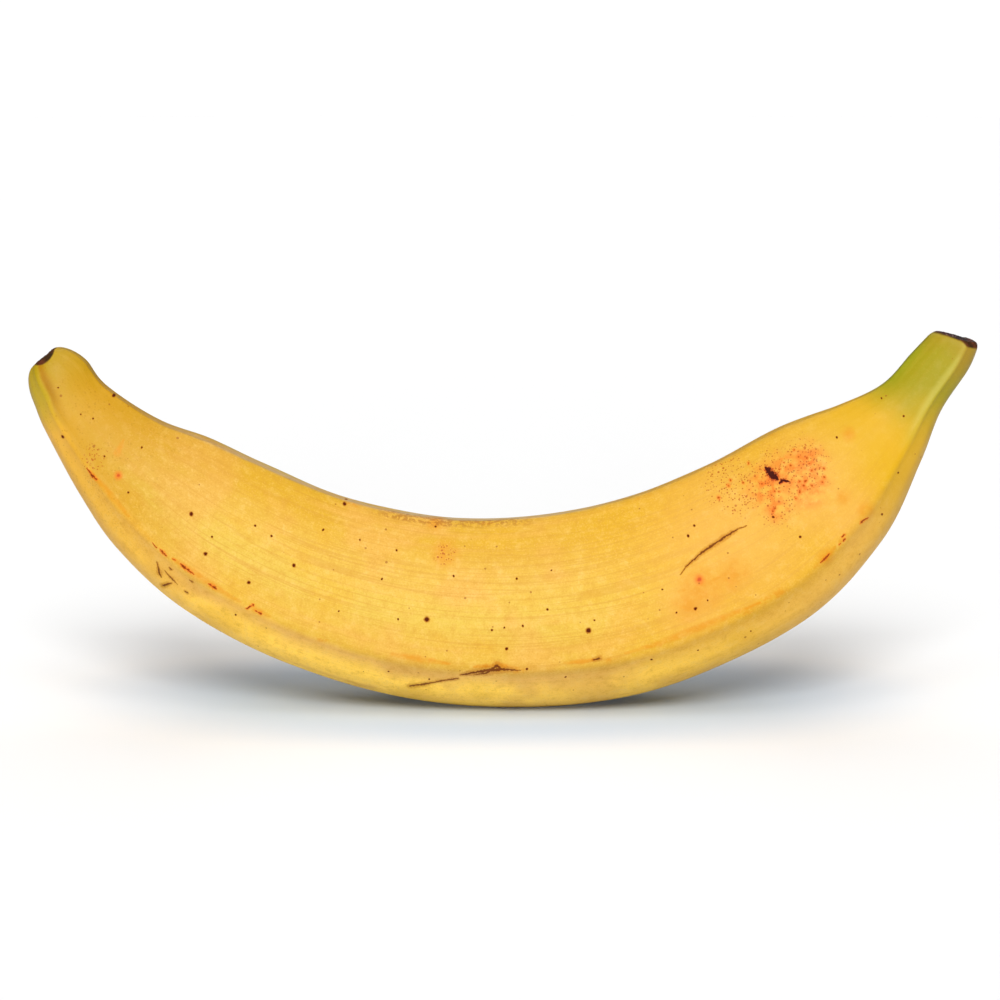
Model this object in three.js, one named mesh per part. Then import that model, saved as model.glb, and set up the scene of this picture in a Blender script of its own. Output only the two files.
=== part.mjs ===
// A ripe plantain: one whole fruit, with its stem end and its flower end grown on it.
// Millimetres, +Z up. It stands on its belly with both ends up, +X towards the stem, and the origin is
// on the surface it rests on, under the middle of its box.
import * as THREE from "three";

// Driving dimensions.
// A station is one slice across the fruit. inner and outer are the X and Z of its hollow side and of its
// full side, and thick is how thick the fruit is there along Y. They run from the flower end to the stem.
const stations = [
  { inner: [-107.8, 93.5], outer: [-119.2, 83.5], thick: 15.5 },
  { inner: [-102.5, 88], outer: [-116, 78], thick: 16 },
  { inner: [-97.5, 81.5], outer: [-113, 70.5], thick: 19 },
  { inner: [-84.5, 73], outer: [-104.5, 54], thick: 26 },
  { inner: [-72.5, 68.5], outer: [-95.5, 40.5], thick: 33 },
  { inner: [-58.5, 62], outer: [-79.5, 25.5], thick: 38 },
  { inner: [-37.5, 53.5], outer: [-53.5, 11.5], thick: 41 },
  { inner: [-13.5, 49], outer: [-21, 2], thick: 43 },
  { inner: [10, 49.5], outer: [13.5, 0.5], thick: 44.5 },
  { inner: [31.5, 54], outer: [44, 6.5], thick: 44.5 },
  { inner: [51, 62], outer: [76, 22.5], thick: 42.5 },
  { inner: [69, 71.5], outer: [95, 42.5], thick: 37 },
  { inner: [84, 77], outer: [104.5, 62], thick: 23.5 },
  { inner: [94.5, 82], outer: [109.5, 75.5], thick: 15.5 },
  { inner: [101.5, 89.5], outer: [116, 86], thick: 13 },
  { inner: [107, 95.4], outer: [118.4, 92.4], thick: 12 },
];

// Four ridges run the length of the fruit. Their angles, in degrees, go round a slice from its inner side
// by the front (-Y): front top, front bottom, back bottom and back top.
const ridgesAtFlower = [21, 117, 240, 318];
const ridgesAtStem = [17, 117, 240, 312];
const twistFrom = 0.25;
const twistTo = 0.5;

// The face after each ridge is an arc. Its radius is a share of the slice's half width.
const faceRadii = [2.2, 1, 1.8, 3];
const ridgeSoftness = 14;
const ridgeRise = 0.03;
const ridgeSpread = 0.1;

// A shallow furrow runs on the belly side of both bottom ridges.
const furrowDepth = 0.02;
const furrowSpread = 0.16;
const furrowSetback = 0.24;

// Each end rounds in over its last stretch to a flat end, which is a share of the slice's width.
const flowerEnd = { share: 0.4, reach: 8, dish: 0.8 };
const stemEnd = { share: 0.82, reach: 2, dish: 0 };

// The belly is flat below this height in the stations' own frame, where the fruit rests.
const restingFlat = 1.1;

// Mesh divisions. The steps round a slice are given for each face, and crowd by this share at the ridges.
const faceSteps = [10, 20, 10, 8];
const crowding = 0.35;
const stepsPerStation = 5;
const stepsPerEnd = 3;

const faces = ridgesAtFlower.length;
const spans = stations.length - 1;
const stepsRound = faceSteps.reduce((sum, steps) => sum + steps, 0);
const stepsAlong = spans * stepsPerStation + 2 * stepsPerEnd;
const turn = 2 * Math.PI;

const innerLine = new THREE.SplineCurve(stations.map((s) => new THREE.Vector2(...s.inner)));
const outerLine = new THREE.SplineCurve(stations.map((s) => new THREE.Vector2(...s.outer)));
const thickLine = new THREE.SplineCurve(stations.map((s) => new THREE.Vector2(s.thick, 0)));

function ridgesAt(along) {
  const twist = THREE.MathUtils.smoothstep(along, twistFrom, twistTo);
  const ridges = ridgesAtFlower.map((angle, i) => THREE.MathUtils.lerp(angle, ridgesAtStem[i], twist));
  return ridges.map(THREE.MathUtils.degToRad);
}

// Where face number `face` begins and ends, as angles round the slice.
function faceSpan(ridges, face) {
  const from = ridges[face];
  const to = face === faces - 1 ? ridges[0] + turn : ridges[face + 1];
  return [from, to];
}

// How far the arc of one face is from the slice's centre, on a slice whose ridges lie on a unit circle.
function faceReach(angle, [from, to], radius) {
  const half = (to - from) / 2;
  const off = angle - (from + to) / 2;
  const centre = Math.cos(half) - Math.sqrt(radius ** 2 - Math.sin(half) ** 2);
  return centre * Math.cos(off) + Math.sqrt(radius ** 2 - (centre * Math.sin(off)) ** 2);
}

// A smooth hump of height 1 centred on an angle.
function hump(angle, middle, spread) {
  const off = THREE.MathUtils.euclideanModulo(angle - middle + Math.PI, turn) - Math.PI;
  return Math.exp(-((off / spread) ** 2));
}

// The slice's own outline: its arcs blended at soft ridges, with the ridges raised and the furrows sunk.
function sliceReach(angle, ridges) {
  let blended = 0;
  for (let face = 0; face < faces; face += 1) {
    blended += faceReach(angle, faceSpan(ridges, face), faceRadii[face]) ** -ridgeSoftness;
  }
  let reach = blended ** (-1 / ridgeSoftness);
  for (const ridge of ridges) {
    reach += ridgeRise * hump(angle, ridge, ridgeSpread);
  }
  const [, frontBottom, backBottom] = ridges;
  reach -= furrowDepth * hump(angle, frontBottom + furrowSetback, furrowSpread);
  reach -= furrowDepth * hump(angle, backBottom - furrowSetback, furrowSpread);
  return reach;
}

function slicePoint(angle, ridges) {
  const reach = sliceReach(angle, ridges);
  return new THREE.Vector2(reach * Math.cos(angle), reach * Math.sin(angle));
}

// The angle of a step round the slice.
function angleAt(step, ridges) {
  let face = 0;
  let left = step;
  while (left >= faceSteps[face]) {
    left -= faceSteps[face];
    face += 1;
  }
  const part = left / faceSteps[face];
  const [from, to] = faceSpan(ridges, face);
  return THREE.MathUtils.lerp(from, to, part - (crowding * Math.sin(turn * part)) / turn);
}

// How much of its full width a slice has at a distance from an end.
function endShare(distance, end) {
  const left = THREE.MathUtils.clamp(1 - distance / end.reach, 0, 1);
  return end.share + (1 - end.share) * Math.sqrt(1 - left ** 2);
}

// One slice: its place, its two half axes and its outline's box, from a share of the way along.
function sliceAt(along) {
  const inner = innerLine.getPoint(along);
  const outer = outerLine.getPoint(along);
  const middle = inner.clone().add(outer).multiplyScalar(0.5);
  const ridges = ridgesAt(along);
  const box = new THREE.Box2();
  for (let degree = 0; degree < 360; degree += 1) {
    box.expandByPoint(slicePoint(THREE.MathUtils.degToRad(degree), ridges));
  }
  return { middle, across: inner.sub(outer), thick: thickLine.getPoint(along).x, ridges, box };
}

const flowerMiddle = sliceAt(0).middle;
const stemMiddle = sliceAt(1).middle;

// The stretch along the fruit that a row of the mesh belongs to: an end's flat, or the body between them.
function rowPlace(row) {
  if (row < stepsPerEnd) {
    return { along: 0, share: row / stepsPerEnd, dish: flowerEnd.dish };
  }
  if (row > stepsAlong - stepsPerEnd) {
    return { along: 1, share: (stepsAlong - row) / stepsPerEnd, dish: -stemEnd.dish };
  }
  return { along: (row - stepsPerEnd) / (spans * stepsPerStation), share: 1, dish: 0 };
}

// The fruit is a sphere's mesh whose vertices are moved onto the slices, pole to pole.
function fruitGeometry() {
  const geometry = new THREE.SphereGeometry(1, stepsRound, stepsAlong);
  const position = geometry.getAttribute("position");
  const uv = geometry.getAttribute("uv");
  const slices = new Map();
  for (let i = 0; i < position.count; i += 1) {
    const row = Math.round((1 - uv.getY(i)) * stepsAlong);
    const place = rowPlace(row);
    if (!slices.has(place.along)) {
      slices.set(place.along, sliceAt(place.along));
    }
    const slice = slices.get(place.along);
    const step = THREE.MathUtils.euclideanModulo(Math.round((1 - uv.getX(i)) * stepsRound), stepsRound);
    const point = slicePoint(angleAt(step, slice.ridges), slice.ridges);
    point.sub(slice.box.getCenter(new THREE.Vector2())).divide(slice.box.getSize(new THREE.Vector2()));
    const fromFlower = slice.middle.distanceTo(flowerMiddle);
    const fromStem = slice.middle.distanceTo(stemMiddle);
    const width = place.share * endShare(fromFlower, flowerEnd) * endShare(fromStem, stemEnd);
    const lengthwise = new THREE.Vector2(slice.across.y, -slice.across.x).normalize();
    const sunk = place.dish * (1 - place.share ** 2);
    position.setXYZ(
      i,
      slice.middle.x + slice.across.x * point.x * width + lengthwise.x * sunk,
      -slice.thick * point.y * width,
      Math.max(slice.middle.y + slice.across.y * point.x * width + lengthwise.y * sunk, restingFlat),
    );
  }
  geometry.computeVertexNormals();
  return geometry;
}

const peel = new THREE.MeshStandardMaterial({ color: 0xf5bd48, roughness: 0.5, metalness: 0 });
const plantain = new THREE.Mesh(fruitGeometry(), peel);
plantain.name = "plantain";
plantain.geometry.computeBoundingBox();
const bounds = plantain.geometry.boundingBox;
const centre = bounds.getCenter(new THREE.Vector3());
plantain.position.set(-centre.x, -centre.y, -bounds.min.z);

const group = new THREE.Group();
group.add(plantain);

export default group;
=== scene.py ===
"""A ripe plantain standing on its belly, with its peel, marks and ends, and a plain pale studio."""

import math

import bmesh
import bpy
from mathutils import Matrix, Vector, noise


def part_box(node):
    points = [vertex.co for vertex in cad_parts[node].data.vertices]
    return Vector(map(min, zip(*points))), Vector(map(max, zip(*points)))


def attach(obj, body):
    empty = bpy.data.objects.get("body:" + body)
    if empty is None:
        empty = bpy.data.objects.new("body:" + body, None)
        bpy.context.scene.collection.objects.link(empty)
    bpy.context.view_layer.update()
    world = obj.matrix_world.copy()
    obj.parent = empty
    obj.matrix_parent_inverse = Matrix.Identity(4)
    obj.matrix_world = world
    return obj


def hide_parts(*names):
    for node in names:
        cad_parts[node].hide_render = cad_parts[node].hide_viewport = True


bl_info = {
    "name": "Ripe plantain",
    "version": (1, 0, 0),
    "blender": (4, 5, 0),
    "location": "3D View > Sidebar > Plantain",
    "description": "Models a ripe plantain with its peel, marks, stem end and flower end",
    "category": "Object",
}

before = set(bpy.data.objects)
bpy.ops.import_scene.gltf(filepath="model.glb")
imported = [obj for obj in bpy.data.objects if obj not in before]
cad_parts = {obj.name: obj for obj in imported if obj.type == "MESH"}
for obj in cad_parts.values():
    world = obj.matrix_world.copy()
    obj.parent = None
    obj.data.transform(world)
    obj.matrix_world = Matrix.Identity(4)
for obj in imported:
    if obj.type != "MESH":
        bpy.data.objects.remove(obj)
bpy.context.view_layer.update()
FRUIT_NODE = "plantain"
MM = 0.001
TURN = 2 * math.pi

# ---- the fruit's form, in millimetres

# Slices across the fruit, from the flower end to the stem's cut face: the X and Z of the hollow side and
# of the full side, and the thickness along Y.
STATIONS = (
    ((-107.8, 93.5), (-119.2, 83.5), 15.5),
    ((-102.5, 88), (-116, 78), 16),
    ((-97.5, 81.5), (-113, 70.5), 19),
    ((-84.5, 73), (-104.5, 54), 26),
    ((-72.5, 68.5), (-95.5, 40.5), 33),
    ((-58.5, 62), (-79.5, 25.5), 38),
    ((-37.5, 53.5), (-53.5, 11.5), 41),
    ((-13.5, 49), (-21, 2), 43),
    ((10, 49.5), (13.5, 0.5), 44.5),
    ((31.5, 54), (44, 6.5), 44.5),
    ((51, 62), (76, 22.5), 42.5),
    ((69, 71.5), (95, 42.5), 37),
    ((84, 77), (104.5, 62), 23.5),
    ((94.5, 82), (109.5, 75.5), 15.5),
    ((101.5, 89.5), (116, 86), 13),
    ((107, 95.4), (118.4, 92.4), 12),
)
SPANS = len(STATIONS) - 1

# The lengthwise ridges, in degrees round a slice from its hollow side by the front: front top, front
# bottom, back bottom and back top. The slice twists from the one set to the other.
RIDGES_AT_FLOWER = (21, 117, 240, 318)
RIDGES_AT_STEM = (17, 117, 240, 312)
TWIST_FROM, TWIST_TO = 0.25, 0.5
FACE_RADII = (2.2, 1, 1.8, 3)
FACES = len(FACE_RADII)
RIDGE_SOFTNESS = 14
RIDGE_SPREAD = 0.1
FURROW_SPREAD = 0.16
FURROW_SETBACK = 0.24
FLOWER_SHARE, FLOWER_REACH = 0.4, 8
STEM_SHARE, STEM_REACH = 0.82, 2
RESTING_FLAT = 1.1

# The peel's relief: each layer's height, its spread across and along the fruit, and its shift through the
# noise. Knocks are along the ridges, and the belly's lowest part has no relief.
PEEL_RELIEF = ((0.22, 16, 38, 0), (0.1, 6, 14, 9), (0.05, 2.2, 90, 0))
KNOCK_HEIGHT, KNOCK_SPREAD, KNOCK_SHIFT = 0.16, 5, 5
SMOOTH_BELOW, ROUGH_ABOVE = 0.05, 3

# Relief on the flats of the ends: each kind's height, and how fine it is against the flat's radius.
SCAR_CRUMBS, SCAR_FINENESS = 0.4, 2.6
CUT_FIBRES, FIBRE_FINENESS, FIBRE_SHIFT = 0.25, 5.5, Vector((4, 0, 0))
CUT_SLANT, SLANT_FINENESS, SLANT_SHIFT = 0.35, 1.3, Vector((0, 7, 0))
SCAR_TUFT, TUFT_FROM, TUFT_TO = 0.5, 0.12, 0.3
RIM_FROM = 0.8

FACE_STEPS = (10, 20, 10, 8)
CROWDING = 0.35
STEPS_PER_SPAN = 5
STRAIGHT_RADIUS = 22
WELD_DISTANCE = 0.001
SCAR_SLOT, CUT_SLOT = 1, 2


def smooth(value, low, high):
    """0 below low, 1 above high, and an S curve between them."""
    part = min(max((value - low) / (high - low), 0), 1)
    return part * part * (3 - 2 * part)


def mix(first, second, part):
    return first + (second - first) * part


def curve_point(points, along):
    """A point on the uniform Catmull-Rom curve through points, at a share of the way along it."""
    place = along * (len(points) - 1)
    i = min(int(place), len(points) - 2)
    part = place - i
    before, start, end, after = (points[min(max(i + k, 0), len(points) - 1)] for k in (-1, 0, 1, 2))
    out = (end - before) / 2
    back = (after - start) / 2
    cubic = 2 * start - 2 * end + out + back
    square = 3 * end - 3 * start - 2 * out - back
    return cubic * part**3 + square * part**2 + out * part + start


def ridges_at(along):
    twist = smooth(along, TWIST_FROM, TWIST_TO)
    return [math.radians(mix(a, b, twist)) for a, b in zip(RIDGES_AT_FLOWER, RIDGES_AT_STEM)]


def face_span(ridges, face):
    return ridges[face], (ridges[0] + TURN if face == FACES - 1 else ridges[face + 1])


def face_reach(angle, span, radius):
    """How far one face's arc is from the slice's centre, with the ridges on a unit circle."""
    half = (span[1] - span[0]) / 2
    off = angle - (span[0] + span[1]) / 2
    centre = math.cos(half) - math.sqrt(radius**2 - math.sin(half) ** 2)
    return centre * math.cos(off) + math.sqrt(radius**2 - (centre * math.sin(off)) ** 2)


def hump(angle, middle, spread):
    off = (angle - middle + math.pi) % TURN - math.pi
    return math.exp(-((off / spread) ** 2))


def ridge_hump(angle, ridges):
    return sum(hump(angle, ridge, RIDGE_SPREAD) for ridge in ridges)


def furrow_hump(angle, ridges):
    front = hump(angle, ridges[1] + FURROW_SETBACK, FURROW_SPREAD)
    return front + hump(angle, ridges[2] - FURROW_SETBACK, FURROW_SPREAD)


def slice_point(angle, ridges, shape):
    """A point of the slice's outline, towards its hollow side and towards the front."""
    blended = sum(
        face_reach(angle, face_span(ridges, face), FACE_RADII[face]) ** -RIDGE_SOFTNESS
        for face in range(FACES)
    )
    reach = blended ** (-1 / RIDGE_SOFTNESS)
    reach += shape.ridge_rise * ridge_hump(angle, ridges)
    reach -= shape.furrow_depth * furrow_hump(angle, ridges)
    return Vector((reach * math.cos(angle), reach * math.sin(angle)))


class Slice:
    """One slice across the fruit: its place, its width and depth, and its outline's box."""

    hollow_side = [Vector(inner) for inner, _, _ in STATIONS]
    full_side = [Vector(outer) for _, outer, _ in STATIONS]
    thickness = [thick for _, _, thick in STATIONS]

    def __init__(self, along, shape):
        inner = curve_point(self.hollow_side, along)
        outer = curve_point(self.full_side, along)
        self.middle = (inner + outer) / 2
        self.across = inner - outer
        self.thick = curve_point(self.thickness, along)
        self.ridges = ridges_at(along)
        outline = [slice_point(math.radians(degree), self.ridges, shape) for degree in range(360)]
        low, high = (Vector(pick(p[k] for p in outline) for k in (0, 1)) for pick in (min, max))
        self.size = high - low
        self.centre = (high + low) / 2

    def point(self, angle, shape):
        """A point of the outline, from -0.5 to 0.5 across the slice's box each way."""
        found = slice_point(angle, self.ridges, shape)
        centre, size = self.centre, self.size
        return Vector(((found.x - centre.x) / size.x, (found.y - centre.y) / size.y))


def step_angle(step, ridges, fineness):
    """The angle of a step round the slice, and its place in faces from the first ridge."""
    face = 0
    while step >= FACE_STEPS[face] * fineness:
        step -= FACE_STEPS[face] * fineness
        face += 1
    part = step / (FACE_STEPS[face] * fineness)
    start, end = face_span(ridges, face)
    return mix(start, end, part - CROWDING * math.sin(TURN * part) / TURN), face + part


def end_share(distance, share, reach):
    left = min(max(1 - distance / reach, 0), 1)
    return share + (1 - share) * math.sqrt(1 - left**2)


# ---- the fruit's mesh


class Row:
    """One ring of the mesh: its slice, and how far in it lies on an end's flat."""

    def __init__(self, step, slices, rings):
        last = len(slices) - 1
        past = max(-step, step - last, 0)
        self.end = "flower" if step < 0 else "stem" if step > last else ""
        self.share = (rings - past) / rings
        self.slice = slices[min(max(step, 0), last)]


def mesh_rows(shape):
    """Every row of the mesh, with its width and its distance along the fruit's middle line."""
    last = SPANS * STEPS_PER_SPAN * shape.fine_along
    rings = shape.end_rings
    slices = [Slice(step / last, shape) for step in range(last + 1)]
    rows = [Row(step, slices, rings) for step in range(-rings, last + rings + 1)]
    distance = 0
    for row, before in zip(rows, [rows[0], *rows]):
        distance += (row.slice.middle - before.slice.middle).length
        row.distance = distance
    for row in rows:
        from_flower = (row.slice.middle - rows[0].slice.middle).length
        from_stem = (row.slice.middle - rows[-1].slice.middle).length
        row.width = end_share(from_flower, FLOWER_SHARE, FLOWER_REACH)
        row.width *= end_share(from_stem, STEM_SHARE, STEM_REACH)
    return rows


def end_relief(row, angle, shape):
    """How far a point of an end's flat stands out along the fruit, in millimetres."""
    about = Vector((math.cos(angle), math.sin(angle), 0)) * row.share
    held = 1 - smooth(row.share, RIM_FROM, 1)
    if row.end == "flower":
        dish = -shape.scar_dish / MM * (1 - row.share**2)
        crumbs = SCAR_CRUMBS * noise.noise(about * SCAR_FINENESS) * smooth(row.share, 0, TUFT_TO) * held
        tuft = SCAR_TUFT * (1 - smooth(row.share, TUFT_FROM, TUFT_TO))
        return dish + crumbs + tuft
    cup = -shape.cut_cup / MM * (1 - row.share**6)
    fibres = CUT_FIBRES * noise.noise(about * FIBRE_FINENESS + FIBRE_SHIFT)
    slant = CUT_SLANT * noise.noise(about * SLANT_FINENESS + SLANT_SHIFT)
    return cup + (fibres + slant) * held


def peel_relief(place, straight, ridge):
    """How far the peel stands proud of its smooth form, in millimetres."""
    relief = 0
    for rise, across, along, shift in PEEL_RELIEF:
        spot = Vector((straight.x / across, straight.y / across, straight.z / along + shift))
        relief += rise * noise.noise(spot)
    relief += KNOCK_HEIGHT * ridge * noise.noise(Vector((0, KNOCK_SHIFT, straight.z / KNOCK_SPREAD)))
    return relief * smooth(place.z, SMOOTH_BELOW * MM, ROUGH_ABOVE * MM)


def wrapped_grid(shape, rows, columns):
    """A flat grid with a row for each ring, and the ends' materials on the end rings."""
    bm = bmesh.new()
    bm.loops.layers.uv.new("Peel")
    bmesh.ops.create_grid(bm, x_segments=len(rows) - 1, y_segments=columns, size=1, calc_uvs=True)
    for face in bm.faces:
        number = (face.calc_center_median().x + 1) / 2 * (len(rows) - 1)
        face.smooth = True
        if number < shape.end_rings:
            face.material_index = SCAR_SLOT
        elif number > len(rows) - 1 - shape.end_rings:
            face.material_index = CUT_SLOT
    return bm


def fruit_mesh(shape):
    """The fruit as one closed mesh, with what its materials read kept as attributes."""
    rows = mesh_rows(shape)
    columns = sum(FACE_STEPS) * shape.fine_around
    bm = wrapped_grid(shape, rows, columns)
    straight = bm.verts.layers.float_vector.new("straight")
    ridge = bm.verts.layers.float.new("ridge")
    outlines = {}
    for vert in bm.verts:
        row = rows[round((vert.co.x + 1) / 2 * (len(rows) - 1))]
        column = round((1 - vert.co.y) / 2 * columns) % columns
        key = (id(row.slice), column)
        if key not in outlines:
            angle, around = step_angle(column, row.slice.ridges, shape.fine_around)
            outlines[key] = (angle, around, row.slice.point(angle, shape))
        angle, around, outline = outlines[key]
        across = row.slice.across
        width = row.width * row.share
        spot = row.slice.middle + across * outline.x * width
        if row.end:
            out = end_relief(row, angle, shape)
            stemwards = Vector((across.y, -across.x)).normalized()
            spot += stemwards * (out if row.end == "stem" else -out)
        vert.co = Vector((spot.x, -row.slice.thick * outline.y * width, max(spot.y, RESTING_FLAT)))
        vert.co *= MM
        turn = TURN * around / FACES
        vert[straight] = Vector(
            (STRAIGHT_RADIUS * math.cos(turn), STRAIGHT_RADIUS * math.sin(turn), row.distance)
        )
        vert[ridge] = min(ridge_hump(angle, row.slice.ridges), 1) * row.share
    bmesh.ops.remove_doubles(bm, verts=bm.verts, dist=WELD_DISTANCE * MM)
    bmesh.ops.recalc_face_normals(bm, faces=bm.faces)
    bm.normal_update()
    for vert in bm.verts:
        vert.co += vert.normal * peel_relief(vert.co, vert[straight], vert[ridge]) * MM
    fit_to_frame(bm)
    return bm


def fit_to_frame(bm):
    """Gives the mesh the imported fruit's own box, which takes a small fraction of a millimetre."""
    low, high = (Vector(pick(v.co[k] for v in bm.verts) for k in range(3)) for pick in (min, max))
    frame_low, frame_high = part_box(FRUIT_NODE)
    for vert in bm.verts:
        for k in range(3):
            part = (vert.co[k] - low[k]) / (high[k] - low[k])
            vert.co[k] = mix(frame_low[k], frame_high[k], part)


# ---- helpers for materials


def connect(node, inputs):
    """Links or sets a node's inputs, by their names or numbers."""
    for key, value in inputs.items():
        if isinstance(value, bpy.types.NodeSocket):
            node.id_data.links.new(value, node.inputs[key])
        else:
            node.inputs[key].default_value = value


def add(tree, kind, inputs=None, **settings):
    """Adds a shader node to a tree, sets it up and connects its inputs."""
    made = tree.nodes.new("ShaderNode" + kind)
    for name, value in settings.items():
        setattr(made, name, value)
    connect(made, inputs or {})
    return made


def after(kind, inputs, **settings):
    """Adds a shader node to the tree that its inputs come from."""
    tree = next(value.id_data for value in inputs.values() if isinstance(value, bpy.types.NodeSocket))
    return add(tree, kind, inputs, **settings)


def maths(operation, *values):
    return after("Math", dict(enumerate(values)), operation=operation).outputs[0]


def plus(first, second):
    return maths("ADD", first, second)


def less(first, second):
    return maths("SUBTRACT", first, second)


def times(product, *values):
    for value in values:
        product = maths("MULTIPLY", product, value)
    return product


def highest(top, *values):
    for value in values:
        top = maths("MAXIMUM", top, value)
    return top


def vector_maths(operation, *values):
    made = after("VectorMath", dict(enumerate(values)), operation=operation)
    return made.outputs["Value" if operation in ("DISTANCE", "LENGTH", "DOT_PRODUCT") else "Vector"]


def stretch(vector, by):
    return vector_maths("MULTIPLY", vector, by)


def ramp(value, low, high, to_low=0, to_high=1):
    """A smooth step of value from to_low at low to to_high at high."""
    sockets = {"Value": value, "From Min": low, "From Max": high, "To Min": to_low, "To Max": to_high}
    return after("MapRange", sockets, interpolation_type="SMOOTHSTEP").outputs["Result"]


def fade(value, low, high):
    return ramp(value, low, high, 1, 0)


def belt(value, rise, fall):
    """1 where value is between the end of rise and the start of fall, and 0 outside them."""
    return times(ramp(value, *rise), fade(value, *fall))


def opaque(colour):
    return colour if isinstance(colour, bpy.types.NodeSocket) else (*colour, 1)


def blend(part, first, second):
    """The colour first with part of the colour second over it."""
    return after("Mix", {"Factor": part, 6: opaque(first), 7: opaque(second)}, data_type="RGBA").outputs[2]


def grain(position, size, detail=2, roughness=0.5):
    """Noise from 0 to 1 whose features are about size apart, in the units of position."""
    sockets = {"Vector": position, "Scale": 1 / size, "Detail": detail, "Roughness": roughness}
    return after("TexNoise", sockets).outputs["Fac"]


def use_group(name, inputs):
    """The outputs of a shared group that is given these inputs."""
    return after("Group", inputs, node_tree=bpy.data.node_groups[name]).outputs


# ---- shared effects


def spot_outputs(given):
    """How far off the nearest spot is, as a share of its radius."""
    distance = vector_maths("DISTANCE", given["Place"], given["Centre"])
    share = maths("DIVIDE", distance, given["Radius"])
    return {"Nearest": maths("MINIMUM", share, given["Before"])}


def stroke_outputs(given):
    """How far off the nearest line is, as a share of its half width, which runs from end to end."""
    run = vector_maths("SUBTRACT", given["End"], given["Start"])
    gone = vector_maths("SUBTRACT", given["Place"], given["Start"])
    reach = vector_maths("DOT_PRODUCT", gone, run)
    share = maths("DIVIDE", reach, vector_maths("DOT_PRODUCT", run, run))
    share = after("Clamp", {"Value": share}).outputs[0]
    near = after("VectorMath", {0: run, "Scale": share}, operation="SCALE").outputs["Vector"]
    distance = vector_maths("DISTANCE", gone, near)
    widths = {"Value": share, "To Min": given["Start width"], "To Max": given["End width"]}
    width = after("MapRange", widths).outputs["Result"]
    share = maths("DIVIDE", times(distance, 2), width)
    return {"Nearest": maths("MINIMUM", share, given["Before"])}


def specks_outputs(given):
    """Small round specks of mixed sizes, scattered through space and cut by the surface."""
    scale = maths("DIVIDE", 1, given["Spacing"])
    cells = after("TexVoronoi", {"Vector": given["Place"], "Scale": scale})
    distance = times(cells.outputs["Distance"], given["Spacing"])
    size = after("SeparateColor", {"Color": cells.outputs["Color"]}).outputs["Red"]
    radius = times(given["Radius"], plus(size, 0.4))
    return {"Specks": fade(distance, times(radius, 0.7), radius)}


def fibres_outputs(given):
    """What runs the length of the fruit: thin dark hairs, soft streaks and broad bands."""
    hairs, streaks, bands = (
        stretch(given["Straight"], (1, 1, squeeze)) for squeeze in (0.012, 0.02, 0.06)
    )
    level = maths("ABSOLUTE", less(grain(hairs, 1.05), 0.5))
    thinned = ramp(grain(stretch(hairs, (1, 1, 5)), 4), 0.3, 0.55)
    hairs = times(fade(level, 0.01, 0.05), thinned)
    return {"Hairs": hairs, "Streaks": grain(streaks, 0.8, 3, 0.6), "Bands": grain(bands, 3.2)}


def mottle_outputs(given):
    """Soft patches, fine mottling and a grain of pores, each about a half."""
    place = given["Place"]
    scale = maths("DIVIDE", 1, given["Size"])
    patches = after("TexNoise", {"Vector": place, "Scale": scale, "Detail": 3}).outputs["Fac"]
    return {"Patches": patches, "Fine": grain(place, 2.5, 4, 0.65), "Pores": grain(place, 0.42, 2, 0.6)}


# Each group's maker of outputs, its vector inputs and its number inputs.
SHARED_GROUPS = {
    "Spot": (spot_outputs, ("Place", "Centre"), ("Radius", "Before")),
    "Stroke": (stroke_outputs, ("Place", "Start", "End"), ("Start width", "End width", "Before")),
    "Specks": (specks_outputs, ("Place",), ("Spacing", "Radius")),
    "Lengthwise fibres": (fibres_outputs, ("Straight",), ()),
    "Mottle": (mottle_outputs, ("Place",), ("Size",)),
}


def make_shared_groups():
    for name, (outputs_from, vectors, numbers) in SHARED_GROUPS.items():
        if name in bpy.data.node_groups:
            continue
        tree = bpy.data.node_groups.new(name, "ShaderNodeTree")
        for kind, sockets in (("NodeSocketVector", vectors), ("NodeSocketFloat", numbers)):
            for socket in sockets:
                tree.interface.new_socket(name=socket, in_out="INPUT", socket_type=kind)
        outputs = outputs_from(tree.nodes.new("NodeGroupInput").outputs)
        for socket in outputs:
            tree.interface.new_socket(name=socket, in_out="OUTPUT", socket_type="NodeSocketFloat")
        connect(tree.nodes.new("NodeGroupOutput"), outputs)


# ---- the marks on the peel, in millimetres

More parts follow.
